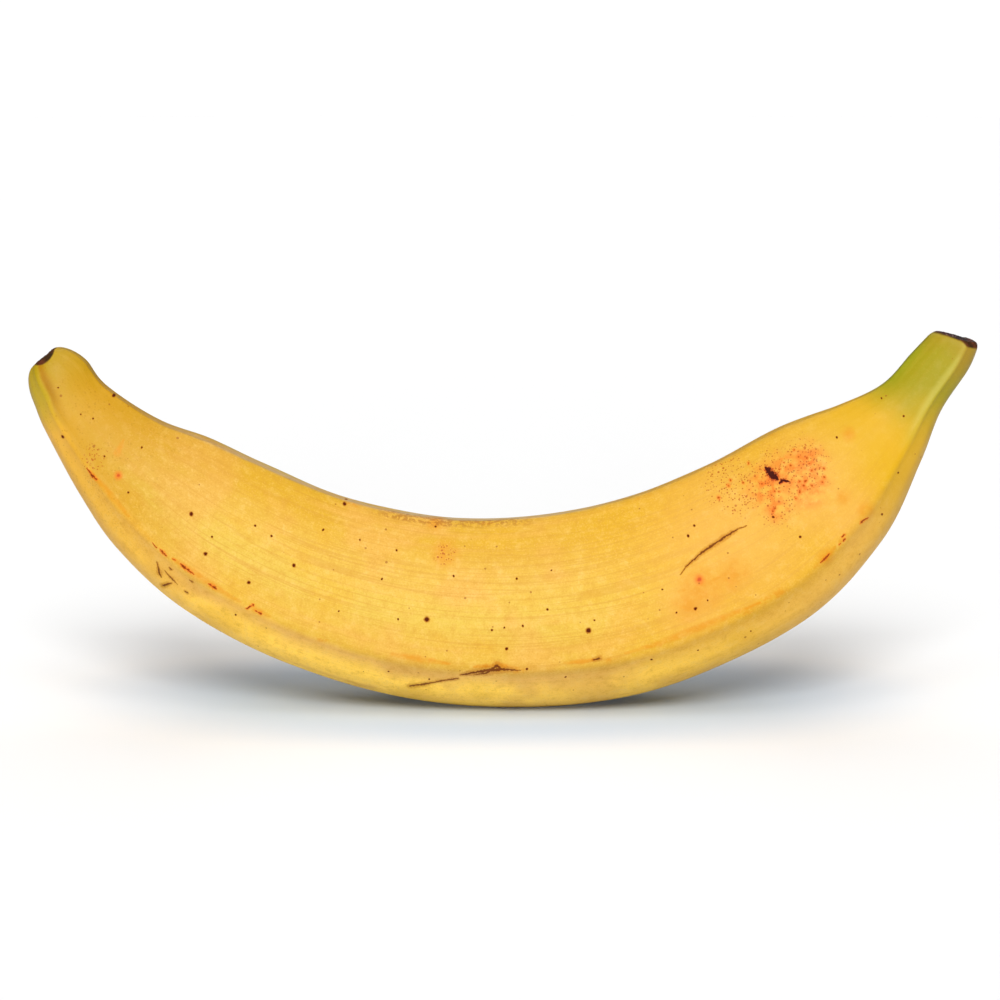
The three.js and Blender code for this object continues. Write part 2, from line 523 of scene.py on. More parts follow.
# Freckles and stains are given by X, Z and radius. The front is the -Y side.
FRONT_FRECKLES = (
    (-76, 51, 0.59), (-72.5, 41.5, 0.51), (-51, 38.5, 0.47), (-39, 52, 0.47), (-18.5, 25.5, 0.75),
    (21, 23, 0.75), (-108, 69, 0.47), (-62, 34.5, 0.47), (1, 18.5, 0.43), (47, 28.5, 0.47),
    (11, 28, 0.31), (66, 50.5, 0.39), (72.5, 46, 0.35), (45.5, 45.5, 0.35), (47, 48, 0.35),
    (82, 69, 0.31), (-91.5, 56, 0.31), (-97.5, 64.5, 0.31), (-88.5, 66.5, 0.28), (-71, 45.5, 0.28),
    (-60.5, 48, 0.31), (-56.5, 45.5, 0.31), (-44, 46.5, 0.31), (-35, 44, 0.28), (-26, 41.5, 0.31),
    (-29.5, 35, 0.28), (-12, 35.5, 0.28), (-25.5, 25.5, 0.28), (-40, 27.5, 0.24), (-65.5, 26, 0.31),
    (-28, 12, 0.24), (3.5, 35, 0.31), (12, 37, 0.24), (22.5, 25.5, 0.28), (39, 33, 0.28),
    (42.5, 27.5, 0.28), (36.5, 15.5, 0.31), (48, 17.5, 0.28), (15.5, 11, 0.28), (93, 50.5, 0.35),
    (97, 60.5, 0.28), (98.5, 74, 0.28), (93.5, 78, 0.24), (50, 30.5, 0.24), (-16.5, 46.5, 0.28),
    (-2.5, 23, 0.31), (0.5, 23.5, 0.24), (5, 24, 0.31), (61, 22, 0.24), (-18, 10, 0.24),
    (6, 13.5, 0.35), (-100.5, 73.5, 0.28), (-103.5, 74.5, 0.24), (-109, 81, 0.24), (-96, 78.5, 0.39),
)
FRONT_REDDISH = ((-94, 60, 0.95), (48, 35.5, 1.1))
FRONT_AMBER = (
    (85, 69.7, 1.6), (-14, 40.5, 3), (-16.5, 47.5, 2), (79, 41, 2), (88.5, 52, 2), (83, 55.5, 1.8),
    (49, 33.5, 5), (56, 36.5, 4), (45, 29, 3.5),
)
FRONT_PEACH = ((56, 47, 17), (74, 57, 12), (47, 31, 9), (83, 52, 8))
BRUISE_SPOTS = (
    (72.5, 64.5, 0.41), (74.5, 64.3, 0.3), (75, 63, 0.34), (75.5, 61.5, 0.26), (78.5, 62, 0.3),
    (78.5, 60, 0.38), (78, 58.8, 0.34), (72.5, 59, 0.3), (74, 59, 0.41), (73.5, 58, 0.38),
    (75.5, 58, 0.45), (72.5, 56.5, 0.45), (71.5, 55, 0.3), (63.5, 58, 0.38), (66.5, 56.5, 0.3),
    (67.5, 56.5, 0.26), (66.5, 52.5, 0.34), (66, 51.8, 0.3), (70.5, 62.5, 0.3), (69, 63, 0.22),
    (67.8, 61.5, 0.3), (56, 58.5, 0.26), (55.5, 57.3, 0.34), (59, 58, 0.26), (53, 54.5, 0.34),
    (60.5, 62.5, 0.26), (71.5, 66, 0.26),
)
PEPPERED = (
    (68, 59.5, 9), (73.5, 62.5, 8), (66.5, 54, 7), (57, 57.5, 9), (-14, 40.5, 3.2), (-100, 64, 4),
)
BRUISE_STAIN = ((65, 57, 5), (74, 58, 5), (70, 60.5, 5), (75, 63.5, 4), (67, 52.5, 3))

# Scratches and scuffs are lines through points given by X, Z and width.
BRUISE_CORE = (
    ((64.4, 61.8, 0.35), (65.2, 61, 1.54), (66.4, 59.8, 1.75), (67.3, 59.2, 0.49)),
    ((67.7, 58.4, 0.42), (68.4, 59, 0.98), (70.2, 58.7, 0.14)),
)
FRONT_SCRATCHES = (
    ((43.3, 36.5, 0.14), (44.6, 38.2, 0.27), (46.3, 39.8, 0.41), (49.8, 42.6, 0.59),
     (54, 45.3, 0.63), (57.7, 47.6, 0.32), (59.7, 48.3, 0.1)),
    ((-23, 7.7, 0.65), (-19.8, 8.3, 0.78), (-16.7, 9.2, 0.46), (-11, 10.5, 0.46)),
    ((-10.2, 11.6, 0.39), (-7.5, 12.3, 0.91), (-4, 13, 1.17), (-0.4, 13.4, 1.04), (4.5, 13.1, 0.14)),
    ((-7, 11.7, 0.26), (-4, 12.3, 0.65), (-1.3, 14.3, 1.17), (-0.5, 13.5, 0.78)),
    ((22.3, 15.8, 0.5), (23.6, 16.3, 0.7)),
    ((-84.8, 38.8, 0.23), (-84.5, 37.2, 0.36), (-84.4, 35.8, 0.72), (-84, 34.6, 0.14)),
    ((-83, 36.8, 0.18), (-81.9, 35.3, 0.36), (-80.8, 34.2, 0.32), (-79.8, 33.1, 0.1)),
    ((-83.8, 32.2, 0.81), (-82.4, 33, 0.63), (-81.4, 33.4, 0.27)),
    ((-81.6, 37.7, 0.27), (-81.2, 37.3, 0.45)),
    ((-76.6, 34.9, 0.18), (-75.9, 34.4, 0.36)),
    ((-78, 31.5, 0.36), (-77.5, 31, 0.45)),
)
FRONT_SCUFFS = (
    ((-85.7, 44.2, 0.12), (-84.7, 42.9, 0.3)),
    ((-83.7, 42.4, 0.3), (-82.9, 41.6, 0.6), (-82.2, 40.9, 0.36)),
    ((-80.6, 40.2, 0.24), (-80, 39.8, 0.36)),
    ((-78.7, 38.9, 0.3), (-78, 38.3, 0.66), (-76.3, 37.1, 0.48), (-75.4, 36.5, 0.24)),
    ((-71.8, 34.2, 0.24), (-70.8, 33.5, 0.66), (-69.8, 32.9, 0.24)),
    ((-62.6, 28, 0.36), (-61.9, 28.5, 0.3), (-61, 29, 0.48)),
    ((-60.3, 27.6, 0.3), (-59, 26.9, 0.48)),
    ((-101.9, 61.5, 0.24), (-101.1, 60.7, 0.36), (-100.6, 59.9, 0.6), (-99.6, 59.1, 0.48)),
    ((87.4, 49.3, 0.48), (88.6, 50, 0.54), (89.4, 50.3, 0.12)),
    ((82.6, 45.9, 0.3), (83.1, 46.3, 0.48)),
    ((83.1, 45.1, 0.48), (83.4, 45.3, 0.36)),
    ((82, 44.1, 0.3), (82.3, 44.2, 0.3)),
    ((77.5, 39.6, 0.24), (78.8, 40.9, 0.6), (79.6, 41.8, 0.3)),
)
FRONT_SMUDGES = (
    ((-93, 68.3, 0.6), (-94.3, 65.3, 1.8)),
    ((-80.5, 40.2, 0.8), (-76, 37.2, 1.8), (-70, 33.2, 1.6), (-64, 29.7, 0.6)),
    ((-101, 60.6, 1), (-96, 55.5, 1.6), (-91.5, 50.5, 0.8)),
    ((-61, 28.3, 1.6), (-57, 26.3, 0.8)),
    ((-27, 17, 1), (-20, 15.8, 1.7), (-13, 14.7, 0.6)),
    ((-7, 14, 0.6), (-1, 14.6, 1.2), (4, 13.6, 0.5)),
    ((76, 38.5, 0.6), (79, 41, 2.4), (81, 43.5, 0.6)),
    ((43, 32.5, 0.8), (50, 35, 1.4), (58, 38, 0.5)),
    ((30, 17.5, 0.5), (38.9, 20.2, 1.4), (45.8, 23, 1.8), (54.3, 26.5, 1.4), (62.8, 30, 0.5)),
    ((15, 15.1, 0.4), (19.4, 15.4, 1.2), (23, 16, 0.4)),
)

BACK_FRECKLES = (
    (-90, 62, 0.5), (-81, 47, 0.8), (-66, 50, 0.4), (-60, 33, 0.65), (-47, 44, 0.4), (-38, 26, 0.5),
    (-24, 36, 0.9), (-11, 22, 0.4), (2, 40, 0.6), (17, 30, 0.45), (33, 22, 0.75), (38, 42, 0.4),
    (57, 35, 0.6), (71, 52, 0.85), (86, 60, 0.45), (95, 74, 0.4),
)
BACK_REDDISH = ((-52, 29, 1.2), (45, 50, 1.5), (62, 27, 0.9))
BACK_SCRATCHES = (
    ((-36, 37, 0.1), (-30, 35.5, 0.5), (-23, 35, 0.15)),
    ((24, 13.5, 0.2), (31, 15, 0.6), (38, 17.5, 0.8), (42, 20, 0.2)),
    ((66, 41, 0.15), (70, 45, 0.45), (73, 49.5, 0.15)),
)


# ---- materials

FAR = 99
PATCH_SIZE = 17
BAND_DRIFT, EDGE_TEAR, EDGE_WOBBLE = 0.12, 3.6, 0.5
# Takes a point round the straightened fruit to -0.5 at the belly and 0.5 at the hollow side.
UP_SHARE = 0.25 * math.sqrt(2) / STRAIGHT_RADIUS
SCAR_PLACE = (-112.6, 0, 87.6)
STEM_RIM_FROM, STEM_RIM_TO = 274.3, 275
SCAR_RIM_FROM, SCAR_RIM_TO = 1.3, 1.9

# The peel's colours going up the flank, from 0 at the belly's middle to 1 at the hollow side's.
# Part of this is painted light and shade: the bright belly stands for light thrown up from the floor, the
# duller strip beside the bottom ridges is painted shade, and the pale edges of the hollow side are a painted
# highlight.
# middle of the flank is paler than its top partly as painted sheen and partly as the peel's own tone, the
ROUND_COLOURS = (
    (0, "belly"), (0.05, "belly"), (0.11, "furrow"), (0.15, "gold"), (0.24, "gold"), (0.36, "lemon"),
    (0.52, "yellow"), (0.7, "deep_yellow"), (0.86, "deep_yellow"), (0.92, "edge_highlight"), (0.95, "edge_highlight"),
    (1, "lemon"),
)

# The colours laid over the ends: from where to where along the fruit their strength goes from the first
# share to the second, and the belt round the fruit that they keep to.
END_COATS = (
    ("amber", 20, 70, 0.8, 0, "flank"),
    ("ridge_gold", 30, 85, 0.8, 0, "low"),
    ("lime", 6, 17, 0.85, 0, "foot"),
    # tip: partly the tip's own olive tone and partly painted shade, darkening the very tip of the flower
    # end.
    ("tip", 0, 16, 0.85, 0, "lower flank"),
    # valley: painted shade, a dark strip beside the ridge at the flower end standing for the shade of a
    # hollow.
    ("valley", 8, 17, 0.95, 0, "furrow"),
    # furrow here is painted shade on the low part of the belly towards the stem, where it turns from the
    # light.
    ("furrow", 175, 212, 0, 0.85, "low"),
    ("ripe", 145, 195, 0, 0.85, "flank"),
    ("neck", 216, 246, 0, 0.75, "all"),
    ("olive", 245, 261, 0, 0.85, "all"),
    ("green", 252, 264, 0, 0.6, "high"),
    # ridge_highlight: a painted highlight along the stem's front ridge.
    ("ridge_highlight", 244, 258, 0, 0.4, "ridge"),
    ("stem_tan", 258, 272, 0, 0.7, "low"),
    ("stem_tan", 268, 275, 0, 0.5, "flank"),
)


def new_material(name):
    """A material with an empty tree, its Principled shader and its output."""
    material = bpy.data.materials.new(name)
    material.use_nodes = True
    tree = material.node_tree
    tree.nodes.clear()
    shader = add(tree, "BsdfPrincipled")
    add(tree, "OutputMaterial", {"Surface": shader.outputs[0]})
    return material, tree, shader


def place_in_millimetres(tree):
    place = add(tree, "TexCoord").outputs["Object"]
    return stretch(place, (1 / MM, 1 / MM, 1 / MM))


def disc(nearest, size, softness):
    """The mask of what lies within a share of each mark's own size."""
    return fade(nearest, size * (1 - softness), size * (1 + softness))


def round_colour(height, look):
    """Peel colour with painted light and shade, from the belly's middle over a flank to the hollow side."""
    bands = after("ValToRGB", {"Fac": height})
    stops = bands.color_ramp.elements
    while len(stops) < len(ROUND_COLOURS):
        stops.new(1)
    for stop, (place, name) in zip(stops, ROUND_COLOURS):
        stop.position = place
        stop.color = opaque(getattr(look, name))
    return bands.outputs["Color"]


def end_belts(along, height):
    """The belts round the fruit that the colours of its ends keep to."""
    flank = ramp(height, 0.06, 0.13, 0.5, 1)
    drift = plus(height, times(along, 0.008))
    return {
        "all": 1,
        "low": fade(height, 0.1, 0.2),
        "foot": fade(height, 0.15, 0.27),
        "flank": flank,
        # Where the tip's painted shade is laid.
        "lower flank": times(flank, ramp(height, 0.42, 0.55, 1, 0.75)),
        "high": ramp(height, 0.62, 0.92),
        # Where the valley's painted shade is laid.
        "furrow": belt(drift, (0.25, 0.31), (0.33, 0.45)),
        # Where the stem ridge's painted highlight is laid.
        "ridge": belt(height, (0.1, 0.16), (0.18, 0.27)),
    }


class Peel:
    """The peel while it is coloured: where a point of it lies, its noise, and its colour so far."""

    def __init__(self, tree, look):
        self.look = look
        self.place = place_in_millimetres(tree)
        straight = add(tree, "Attribute", attribute_name="straight").outputs["Vector"]
        self.along = after("SeparateXYZ", {0: straight}).outputs["Z"]
        self.ridge = add(tree, "Attribute", attribute_name="ridge").outputs["Fac"]
        self.mottle = use_group("Mottle", {"Place": self.place, "Size": PATCH_SIZE})
        self.fibres = use_group("Lengthwise fibres", {"Straight": straight})
        self.up = vector_maths("DOT_PRODUCT", straight, (UP_SHARE, -UP_SHARE, 0))
        self.ragged = less(self.mottle["Patches"], 0.5)
        self.height = plus(plus(self.up, times(self.ragged, BAND_DRIFT)), 0.5)
        self.cloudy = ramp(self.noise(2.6, 3, 0.6), 0.35, 0.62)
        self.torn = times(less(self.noise(0.5, 2, 0.6), 0.5), EDGE_TEAR)
        # Each mark is drawn on the XZ plane and kept to its own side of the fruit.
        wobble = after("TexNoise", {"Vector": self.place, "Scale": 0.9}).outputs["Color"]
        wobble = stretch(vector_maths("SUBTRACT", wobble, (0.5,) * 3), (EDGE_WOBBLE,) * 3)
        self.flat = stretch(vector_maths("ADD", self.place, wobble), (1, 0, 1))
        side = after("SeparateXYZ", {0: self.place}).outputs["Y"]
        self.front = fade(side, -2.5, -1)
        self.back = ramp(side, 1, 2.5)
        self.colour = round_colour(self.height, look)

    def noise(self, size, detail=2, roughness=0.5):
        return grain(self.place, size, detail, roughness)

    def specks(self, spacing, radius):
        return use_group("Specks", {"Place": self.place, "Spacing": spacing, "Radius": radius})[0]

    def spots(self, marks):
        """How far off the nearest mark is, as a share of its radius."""
        nearest = FAR
        for x, z, radius in marks:
            sockets = {"Place": self.flat, "Centre": (x, 0, z), "Radius": radius, "Before": nearest}
            nearest = use_group("Spot", sockets)[0]
        return nearest

    def strokes(self, lines):
        """How far off the nearest line is, as a share of its half width."""
        nearest = FAR
        for line in lines:
            for (x, z, width), (next_x, next_z, next_width) in zip(line, line[1:]):
                sockets = {"Place": self.flat, "Start": (x, 0, z), "End": (next_x, 0, next_z)}
                widths = {"Start width": width, "End width": next_width, "Before": nearest}
                nearest = use_group("Stroke", sockets | widths)[0]
        return nearest

    def tear(self, nearest, share=1):
        """Makes the edges of marks ragged."""
        return plus(nearest, times(self.torn, share))

    def on_front(self, nearest, size, softness):
        return times(disc(nearest, size, softness), self.front)

    def on_back(self, nearest, size, softness):
        return times(disc(nearest, size, softness), self.back)

    def on_both(self, front, back, size, softness):
        return highest(self.on_front(front, size, softness), self.on_back(back, size, softness))

    def lay(self, name, *masks):
        """Lays a colour of the look over the peel, as strongly as its masks say."""
        self.colour = blend(times(*masks), self.colour, getattr(self.look, name))

    def ripen(self):
        """Warm bands and patches, and the colours of the flower end and stem, some painted shade and
        highlight.
        """
        patches = self.mottle["Patches"]
        self.lay("peach", ramp(self.fibres["Bands"], 0.5, 0.75, 0, 0.4))
        self.lay("peach", ramp(patches, 0.5, 0.66, 0, 0.45))
        self.lay("ripe", ramp(patches, 0.48, 0.34, 0, 0.35))
        reach = plus(self.along, times(self.ragged, 14))
        belts = end_belts(reach, self.height)
        for name, start, end, first, last, where in END_COATS:
            self.lay(name, ramp(reach, start, end, first, last), belts[where])

    def roughen(self):
        """The peel's own grain and fibres, which are faint at the ends and on the belly."""
        along, fine, pores = self.along, self.mottle["Fine"], self.mottle["Pores"]
        body = times(ramp(along, 14, 45, 0.2, 1), ramp(along, 222, 246, 1, 0.2))
        flanks = times(ramp(self.height, 0.13, 0.2, 0.25, 1), body)
        self.lay("fibre", ramp(self.fibres["Streaks"], 0.5, 0.7, 0, 0.2), flanks)
        self.lay("fibre", ramp(fine, 0.48, 0.72, 0, 0.32), body)
        self.lay("bloom", ramp(fine, 0.5, 0.3, 0, 0.25), body)
        self.lay("fibre", ramp(pores, 0.52, 0.72, 0, 0.32), body)
        self.lay("bloom", ramp(pores, 0.48, 0.3, 0, 0.24), body)
        self.lay("fibre", self.fibres["Hairs"], 0.32, flanks)

    def smudge(self):
        """Soft marks: peach and amber patches, smudges, the bruise's stain and reddish spots."""
        self.lay("peach", self.on_front(self.spots(FRONT_PEACH), 1, 0.8), 0.5)
        amber = self.on_front(self.spots(FRONT_AMBER), 0.9, 0.8)
        smudges = self.on_front(self.strokes(FRONT_SMUDGES), 1, 0.7)
        clouded = ramp(self.cloudy, 0, 1, 0.3, 0.65)
        self.lay("smudge", highest(amber, smudges), clouded)
        self.lay("orange", self.on_front(self.spots(BRUISE_STAIN), 0.9, 0.8), self.cloudy, 0.8)
        front, back = self.spots(FRONT_REDDISH), self.spots(BACK_REDDISH)
        self.lay("orange", self.on_both(front, back, 1, 0.7), 0.75)
        self.lay("rust", self.on_both(front, back, 0.42, 0.5), 0.85)

    def pepper(self):
        """Flecks towards the flower end, and pepper that is thick round the bruise."""
        coarse, dust = self.specks(1.3, 0.28), self.specks(0.62, 0.19)
        by_flower = fade(self.along, 15, 75)
        thinned = ramp(self.noise(3.4, 3, 0.6), 0.4, 0.6)
        self.lay("valley", highest(coarse, dust), by_flower, thinned, 0.4)
        crowd = plus(self.on_front(self.spots(PEPPERED), 0.9, 0.6), self.noise(2.6))
        coarse = times(coarse, ramp(crowd, 1.2, 1.5))
        dust = times(dust, ramp(crowd, 0.85, 1.45))
        self.lay("pepper", highest(coarse, dust), 0.8)

    def wear(self):
        """Rubbed patches on the ridges, and a scuffed strip on the edges of the saddle."""
        along, ridge = self.along, self.ridge
        worn = ramp(self.noise(7, 3), 0.56, 0.66)
        chipped = ramp(self.noise(0.9, 3, 0.6), 0.42, 0.56)
        middle = belt(along, (40, 60), (215, 235))
        self.lay("smudge", worn, middle, ramp(ridge, 0.72, 0.98), chipped, 0.6)
        saddle = belt(along, (94, 104), (138, 150))
        lip = times(ramp(self.height, 0.78, 0.84), ramp(ridge, 0.3, 0.7))
        self.lay("scuff", saddle, lip, chipped, 0.55)

    def dry_marks(self):
        """The bruise's dots and core, the scuffs and the scratches. Gives the mask of the dry ones."""
        dots, rubs = self.spots(BRUISE_SPOTS), self.strokes(FRONT_SCUFFS)
        haze = highest(disc(dots, 1.5, 0.7), disc(self.tear(rubs), 1.8, 0.5))
        self.lay("orange", haze, self.front, 0.7)
        dots = self.on_front(self.tear(dots, 0.5), 0.6, 0.4)
        scuffs = self.on_front(self.tear(rubs), 0.8, 0.4)
        self.lay("rust_brown", highest(dots, scuffs), 0.85)
        self.lay("scratch", self.on_front(self.tear(rubs), 0.3, 0.4), 0.7)
        front, back = self.strokes(FRONT_SCRATCHES), self.strokes(BACK_SCRATCHES)
        rind = self.on_front(self.tear(front, 0.8), 2.2, 0.5)
        rind = highest(rind, self.on_back(back, 1.4, 0.4))
        self.lay("rust_brown", rind, 0.4)
        scratches = self.on_front(self.tear(front, 0.5), 0.7, 0.4)
        self.lay("scratch", highest(scratches, self.on_back(back, 0.8, 0.4)), 0.85)
        bruise = self.tear(self.strokes(BRUISE_CORE), 0.7)
        self.lay("rust", self.on_front(bruise, 1.35, 0.3), 0.85)
        bruise = self.on_front(bruise, 0.9, 0.3)
        self.lay("bruise", bruise, 0.95)
        return highest(rind, scuffs, dots, bruise)

    def freckle(self):
        """Freckles with a paler rim, and faint specks between them. Gives the freckles' mask."""
        front, back = self.spots(FRONT_FRECKLES), self.spots(BACK_FRECKLES)
        rims = self.on_both(front, back, 1, 0.3)
        self.lay("rust_brown", rims, 0.75)
        self.lay("freckle", self.on_both(front, back, 0.7, 0.3), 0.95)
        self.lay("scuff", self.specks(4, 0.3), 0.7)
        return rims

    def scorch(self):
        """Burns the skin beside the scar and the cut, most at the cut's lower corner. Gives the mask."""
        edge = plus(self.along, times(self.ragged, 1.5))
        corner = ramp(self.up, -0.4, -0.2, 1.1, 0)
        by_stem = ramp(plus(edge, corner), STEM_RIM_FROM, STEM_RIM_TO, 0, 0.95)
        off_scar = vector_maths("DISTANCE", self.flat, SCAR_PLACE)
        by_scar = plus(edge, ramp(off_scar, 0.8, 3.8, 0, 1.5))
        by_scar = ramp(by_scar, SCAR_RIM_FROM, SCAR_RIM_TO, 0.95, 0)
        rims = highest(by_scar, by_stem)
        crust = blend(self.cloudy, self.look.char, self.look.dry_brown)
        self.colour = blend(rims, self.colour, crust)
        return rims


def finish_surface(shader, colour, roughness, relief, depth):
    """Gives the shader its colour, its roughness and a relief of this depth."""
    bump = after("Bump", {"Height": relief, "Distance": depth, "Strength": 1})
    connect(shader, {"Base Color": colour, "Roughness": roughness, "Normal": bump.outputs["Normal"]})


def peel_material(look):
    """Ripe peel: mottled yellow with fibres, worn ridges, freckles and a green stem."""
    material, tree, shader = new_material("Ripe peel")
    peel = Peel(tree, look)
    peel.ripen()
    peel.roughen()
    peel.smudge()
    peel.pepper()
    peel.wear()
    dry = highest(peel.dry_marks(), peel.freckle(), peel.scorch())
    fine = peel.mottle["Fine"]
    roughness = ramp(fine, 0.3, 0.7, look.gloss - 0.04, look.gloss + 0.05)
    roughness = plus(roughness, times(dry, 0.5))
    relief = plus(times(fine, 0.5), times(peel.fibres["Streaks"], 0.5))
    finish_surface(shader, peel.colour, roughness, relief, look.peel_bump)
    shader.inputs["Specular IOR Level"].default_value = look.sheen
    return material


def scar_material(look):
    """The dry flower-end scar: dark crumbly tissue with paler threads."""
    material, tree, shader = new_material("Dry flower scar")
    mottle = use_group("Mottle", {"Place": place_in_millimetres(tree), "Size": 1.6})
    crumbs, fine = mottle["Patches"], mottle["Fine"]
    colour = blend(ramp(crumbs, 0.5, 0.7), look.char, look.dry_brown)
    colour = blend(ramp(fine, 0.62, 0.75, 0, 0.5), colour, look.pale_fibre)
    relief = plus(crumbs, times(fine, 0.4))
    finish_surface(shader, colour, 0.85, relief, 0.4 * MM)
    return material


def cut_material(look):
    """The stem's cut face: dry brown flesh with the ends of its fibres."""
    material, tree, shader = new_material("Cut stem")
    place = place_in_millimetres(tree)
    mottle = use_group("Mottle", {"Place": place, "Size": 3})
    patches, fine = mottle["Patches"], mottle["Fine"]
    fibre_ends = use_group("Specks", {"Place": place, "Spacing": 0.9, "Radius": 0.34})[0]
    colour = blend(ramp(patches, 0.4, 0.65), look.char, look.dry_brown)
    colour = blend(times(fibre_ends, 0.55), colour, look.pale_fibre)
    relief = less(plus(patches, fine), fibre_ends)
    finish_surface(shader, colour, 0.9, relief, 0.3 * MM)
    return material


def floor_material(stage):
    """Plain matt floor with a painted shadow beside the fruit, toned to hide the tint the fruit gives it."""
    material, tree, shader = new_material("Pale floor")
    place = add(tree, "TexCoord").outputs["Object"]
    place = vector_maths("SUBTRACT", place, (0, stage.painted_shadow_shift, 0))
    spread = (stage.painted_shadow_side, stage.painted_shadow_depth, 1)
    off = vector_maths("LENGTH", vector_maths("DIVIDE", place, spread))
    # near is the mask of the painted shadow, which is darker and bluish and has a faint painted glow.
    near = fade(off, 0.5, 1)
    colour = blend(near, stage.floor_colour, stage.painted_shadow_colour)
    # The painted glow: the floor gives off a faint bluish light in the painted shadow, though it is no lamp.
    glow = blend(near, (0, 0, 0), stage.painted_glow_colour)
    connect(shader, {"Base Color": colour, "Roughness": 1, "Specular IOR Level": 0})
    connect(shader, {"Emission Color": glow, "Emission Strength": 1})
    return material


# ---- settings


def colour_setting(name, description, red, green, blue):
    """A colour setting, from the red, green and blue that a screen shows from 0 to 255."""
    shown = (value / 255 for value in (red, green, blue))
    linear = tuple(((v + 0.055) / 1.055) ** 2.4 if v > 0.04045 else v / 12.92 for v in shown)
    return bpy.props.FloatVectorProperty(
        name=name, description=description, subtype="COLOR", size=3, min=0, max=1, default=linear
    )


def count_setting(name, description, default, least=1):
    return bpy.props.IntProperty(name=name, description=description, default=default, min=least)


def number_setting(name, description, default, **limits):
    return bpy.props.FloatProperty(name=name, description=description, default=default, **limits)


def length_setting(name, description, millimetres):
    return number_setting(name, description, millimetres * MM, unit="LENGTH")


class PLANTAIN_PG_shape(bpy.types.PropertyGroup):
    """The fruit's fineness and relief."""

    fine_around: count_setting("Fineness round", "Mesh steps for each plain step round a slice", 4)
    fine_along: count_setting("Fineness along", "Mesh rows for each plain row along the fruit", 6)
    end_rings: count_setting("End rings", "Mesh rings on the flat of each end", 14, least=2)
    ridge_rise: number_setting("Ridge rise", "Height of the ridges, as a share of the half width", 0.03)
    furrow_depth: number_setting("Furrow depth", "Depth of the furrows, as a share of the half width", 0.02)
    scar_dish: length_setting("Scar dish", "How far the flower scar is sunk", 0.8)
    cut_cup: length_setting("Cut cup", "How far the cut face has dried in", 0.5)


class PLANTAIN_PG_look(bpy.types.PropertyGroup):
    """The colours and finish of the fruit, with painted light and shade among the colours."""

    yellow: colour_setting("Yellow", "Middle of each flank", 199, 159, 56)
    lemon: colour_setting("Lemon", "Just below the middle of each flank", 199, 167, 62)
    gold: colour_setting("Gold", "Foot of each flank and the bottom ridges", 200, 159, 54)
    # Deep yellow: the top of the flank, partly the peel's own deeper tone and partly painted shade.
    deep_yellow: colour_setting("Deep yellow", "Top of each flank", 194, 149, 32)
    peach: colour_setting("Peach", "Warm bands and patches", 206, 153, 72)
    bloom: colour_setting("Bloom", "Pale grain of the peel", 216, 179, 98)
    fibre: colour_setting("Fibre", "Fine lengthwise fibres and mottling", 181, 128, 35)
    # Belly: brighter than the flanks as painted light, for light thrown up onto it from the floor.
    belly: colour_setting("Belly", "Band between the bottom ridges", 252, 205, 82)
    # Furrow: a duller strip beside the bottom ridges, painted shade where the peel turns from the light.
    furrow: colour_setting("Furrow", "Dull strip beside the bottom ridges", 224, 174, 86)
    # A painted highlight on the edges of the hollow side, paler and greyer than the peel.
    edge_highlight: colour_setting("Edge highlight", "Edges of the hollow side", 194, 170, 130)
    amber: colour_setting("Amber", "Flower end", 178, 130, 17)
    # Tip: partly the tip's own olive tone and partly painted shade where the tip turns from the light.
    tip: colour_setting("Tip", "Flower end's very tip", 152, 128, 10)
    ridge_gold: colour_setting("Ridge gold", "Bottom ridges towards the flower end", 214, 160, 51)
    # Valley: painted shade beside the ridge at the flower end; the flecks towards the flower end take it
    # too.
    valley: colour_setting("Valley", "Strip beside the ridge at the flower end", 152, 106, 0)
    # A painted highlight along the stem's front ridge.
    ridge_highlight: colour_setting("Ridge highlight", "Stem's front ridge", 186, 176, 84)
    smudge: colour_setting("Smudge", "Soft smudges along the ridges", 197, 126, 8)
    pepper: colour_setting("Pepper", "Pepper round the bruise", 158, 66, 6)
    rust_brown: colour_setting("Rust brown", "Rims of freckles and scratches", 146, 54, 4)
    lime: colour_setting("Lime", "Unripe band at the flower end", 172, 150, 28)
    ripe: colour_setting("Ripe", "Flank towards the stem", 199, 151, 14)
    neck: colour_setting("Neck", "Neck before the stem", 193, 149, 16)
    olive: colour_setting("Olive", "Whole stem", 133, 130, 14)
    green: colour_setting("Green", "Greenest flanks of the stem", 130, 144, 26)
    stem_tan: colour_setting("Stem tan", "Stem beside its cut", 155, 121, 31)
    orange: colour_setting("Orange", "Stains and halos", 206, 98, 15)
    rust: colour_setting("Rust", "Pepper specks and reddish spots", 178, 62, 6)
    scuff: colour_setting("Scuff", "Rubbed ridges", 140, 76, 8)
    scratch: colour_setting("Scratch", "Dry scratches", 86, 26, 5)
    bruise: colour_setting("Bruise", "Dark bruise", 44, 6, 8)
    freckle: colour_setting("Freckle", "Freckles", 70, 16, 0)
    char: colour_setting("Char", "Darkest dry tissue", 26, 7, 6)
    dry_brown: colour_setting("Dry brown", "Dry tissue", 80, 30, 18)
    pale_fibre: colour_setting("Pale fibre", "Fibre ends in dry tissue", 136, 108, 92)
    gloss: number_setting("Roughness", "How rough the clean peel is", 0.5, min=0, max=1)
    sheen: number_setting("Sheen", "How strongly the peel reflects", 0.15, min=0, max=1)
    peel_bump: length_setting("Peel grain", "Height of the peel's grain", 0.06)


